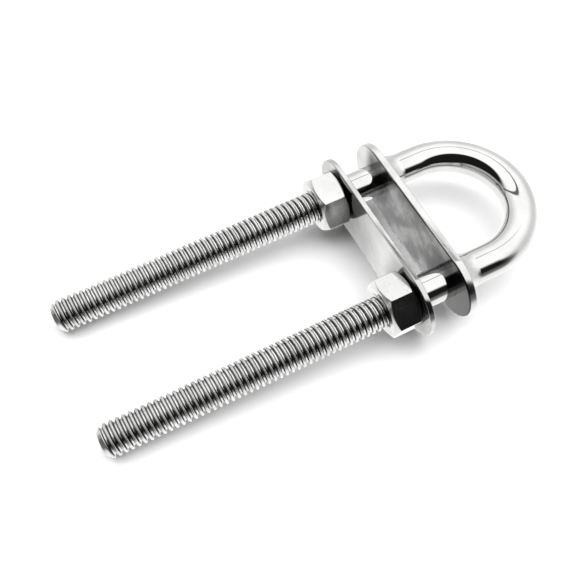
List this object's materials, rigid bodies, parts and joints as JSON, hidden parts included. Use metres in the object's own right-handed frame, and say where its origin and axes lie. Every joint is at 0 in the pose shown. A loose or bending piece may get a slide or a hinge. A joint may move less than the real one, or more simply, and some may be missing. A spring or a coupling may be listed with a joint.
{
  "type": "pad eye",
  "caption": "Through-bolted pad eye: a bent rod eye welded to a deck plate, with threaded legs, a loose backing plate and hex nuts that clamp the deck between the plates.",
  "frame": {"origin": "middle of the deck plate's mounting face, half way between the two legs", "axes": "+X out of the deck towards the eye, so the legs run along -X; +Y across the legs towards the left one; +Z square to both, up when the part lies on a table as in the picture or is bolted through a stem or a transom"},
  "size_m": [0.1141, 0.0508, 0.0172],
  "materials": {
    "u_bolt": "mirror-polished stainless steel rod, cut threads left bright",
    "deck_plate": "mirror-polished stainless steel plate",
    "weld_fillet_left": "stainless steel weld, dressed and polished",
    "weld_fillet_right": "stainless steel weld, dressed and polished",
    "backing_plate": "mirror-polished stainless steel plate, thinner stock",
    "hex_nut_left": "bright stainless steel, chamfered both ends",
    "hex_nut_right": "bright stainless steel, chamfered both ends"
  },
  "bodies": {
    "eye": {"u_bolt": "u_bolt", "deck_plate": "deck_plate", "weld_fillet_left": "weld_fillet_left", "weld_fillet_right": "weld_fillet_right"},
    "backing": {"backing_plate": "backing_plate"},
    "nut_left": {"hex_nut_left": "hex_nut_left"},
    "nut_right": {"hex_nut_right": "hex_nut_right"}
  },
  "joints": [
    {"name": "nut_left_spin", "type": "hinge", "parent": "backing", "child": "nut_left", "pos_m": [-0.0102, 0.0162, 0], "axis": [-1, 0, 0], "range_deg": [0, 16202]},
    {"name": "nut_right_spin", "type": "hinge", "parent": "backing", "child": "nut_right", "pos_m": [-0.0102, -0.0162, 0], "axis": [-1, 0, 0], "range_deg": [0, 16202]},
    {"name": "backing_slide", "type": "slide", "parent": "eye", "child": "backing", "axis": [-1, 0, 0], "range_m": [0, 0.0635]}
  ],
  "couplings": [
    {"joint": "nut_left_spin", "follows": "backing_slide", "rad_per_m": 4452.7},
    {"joint": "nut_right_spin", "follows": "backing_slide", "rad_per_m": 4452.7}
  ]
}
